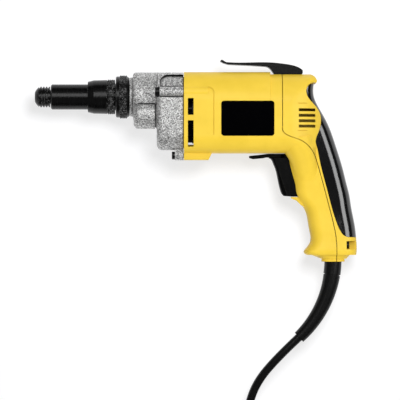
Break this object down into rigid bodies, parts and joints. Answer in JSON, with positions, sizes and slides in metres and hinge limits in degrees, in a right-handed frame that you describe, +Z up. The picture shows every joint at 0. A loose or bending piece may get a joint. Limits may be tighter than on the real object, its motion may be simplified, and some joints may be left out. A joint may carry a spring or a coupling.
{
  "type": "electric screwdriver",
  "caption": "Corded pistol-grip electric screwdriver with a clutch nose, hexagon bit socket, trigger, reverse lever, belt hook and rubber-backed handle, lying on its side with its cord.",
  "frame": {"origin": "on the table under the middle of the tool, cord left out", "axes": "+X from the nose back to the handle along the drive axis, +Y from the handle's base up to the belt hook, +Z up from the table, towards the tool's left side"},
  "size_m": [0.3588, 0.4872, 0.074],
  "materials": {
    "yellow_plastic": "fine satin moulding",
    "black_rubber": "smooth soft skin",
    "black_plastic": "satin",
    "cast_aluminium": "blasted casting",
    "black_screws": "black oxide",
    "steel": "ground",
    "spring_steel": "drawn wire",
    "laminated_steel": "stacked sheet",
    "copper_windings": "enamelled copper",
    "bronze": "sintered",
    "carbon": "pressed carbon",
    "cord_rubber": "smooth cord jacket",
    "tie_fabric": "woven strap",
    "plug_brass": "plain"
  },
  "bodies": {
    "housing": {"motor_housing": "yellow_plastic", "handle_cover": "yellow_plastic", "rubber_grip": "black_rubber", "side_badges": "black_plastic", "gear_case": "cast_aluminium", "gear_case_screws": "black_screws", "bearing_plate": "cast_aluminium", "nose_housing": "black_plastic", "nose_bush": "bronze", "spindle_bearing": "steel", "drive_shaft_bush": "bronze", "idler_bushes": "bronze", "front_bearing": "steel", "rear_bearing": "steel", "rear_bracket": "black_plastic", "stator_core": "laminated_steel", "field_coils": "copper_windings", "brush_holders": "black_plastic", "carbon_brushes": "carbon", "brush_springs": "spring_steel", "clutch_spring": "spring_steel", "switch_body": "black_plastic", "belt_hook": "black_plastic", "hook_screw": "black_screws", "handle_cover_screws": "black_screws", "cord_clamp": "black_plastic", "cord_clamp_screws": "black_screws", "inner_cord": "cord_rubber", "cord_protector": "black_rubber", "cord": "cord_rubber", "cord_coil": "cord_rubber", "cord_tie": "tie_fabric", "cord_tail": "cord_rubber", "plug_body": "cord_rubber", "plug_blades": "plug_brass"},
    "armature": {"armature_shaft": "steel", "armature_core": "laminated_steel", "armature_windings": "copper_windings", "commutator": "copper_windings", "cooling_fan": "black_plastic", "armature_pinion": "steel"},
    "idler": {"idler_shaft": "steel", "idler_gear": "steel", "idler_pinion": "steel"},
    "spindle": {"output_spindle": "steel", "bit_magnet": "steel", "driven_cam": "steel", "drive_cam": "steel", "drive_shaft": "steel", "spindle_gear": "steel", "sleeve_spring": "spring_steel"},
    "bit_sleeve": {"bit_sleeve": "black_plastic"},
    "pressure_ring": {"pressure_ring": "steel"},
    "torque_collar": {"torque_collar": "black_plastic"},
    "lock_collar": {"lock_collar": "black_plastic"},
    "trigger": {"trigger": "black_plastic", "trigger_plunger": "black_plastic"},
    "reverse_lever": {"reverse_lever": "black_plastic"}
  },
  "joints": [
    {"name": "armature_spin", "type": "hinge", "parent": "housing", "child": "armature", "pos_m": [0, 0.04795, 0.037], "axis": [1, 0, 0], "continuous": true},
    {"name": "idler_spin", "type": "hinge", "parent": "housing", "child": "idler", "pos_m": [0, 0.04508, 0.05287], "axis": [1, 0, 0], "continuous": true},
    {"name": "spindle_spin", "type": "hinge", "parent": "housing", "child": "spindle", "pos_m": [0, 0.06375, 0.037], "axis": [1, 0, 0], "continuous": true},
    {"name": "bit_sleeve_slide", "type": "slide", "parent": "spindle", "child": "bit_sleeve", "axis": [-1, 0, 0], "range_m": [0, 0.004], "stiffness_N_per_m": 500, "springref_m": -0.003, "deforming": ["sleeve_spring"]},
    {"name": "pressure_ring_slide", "type": "slide", "parent": "housing", "child": "pressure_ring", "axis": [-1, 0, 0], "range_m": [0, 0.005], "deforming": ["clutch_spring"]},
    {"name": "torque_collar_turn", "type": "hinge", "parent": "pressure_ring", "child": "torque_collar", "pos_m": [0, 0.06375, 0.037], "axis": [1, 0, 0], "range_deg": [0, 300]},
    {"name": "lock_collar_turn", "type": "hinge", "parent": "housing", "child": "lock_collar", "pos_m": [0, 0.06375, 0.037], "axis": [1, 0, 0], "range_deg": [0, 90]},
    {"name": "trigger_pull", "type": "slide", "parent": "housing", "child": "trigger", "axis": [1, 0, 0], "range_m": [0, 0.006], "stiffness_N_per_m": 700, "springref_m": -0.004},
    {"name": "reverse_lever_turn", "type": "hinge", "parent": "housing", "child": "reverse_lever", "pos_m": [0.11925, 0.00425, 0.037], "axis": [0, 1, 0], "range_deg": [-6, 6]}
  ],
  "couplings": [
    {"joint": "idler_spin", "follows": "armature_spin", "ratio": -0.26471},
    {"joint": "spindle_spin", "follows": "armature_spin", "ratio": 0.085851},
    {"joint": "pressure_ring_slide", "follows": "torque_collar_turn", "m_per_rad": 0.00095}
  ]
}
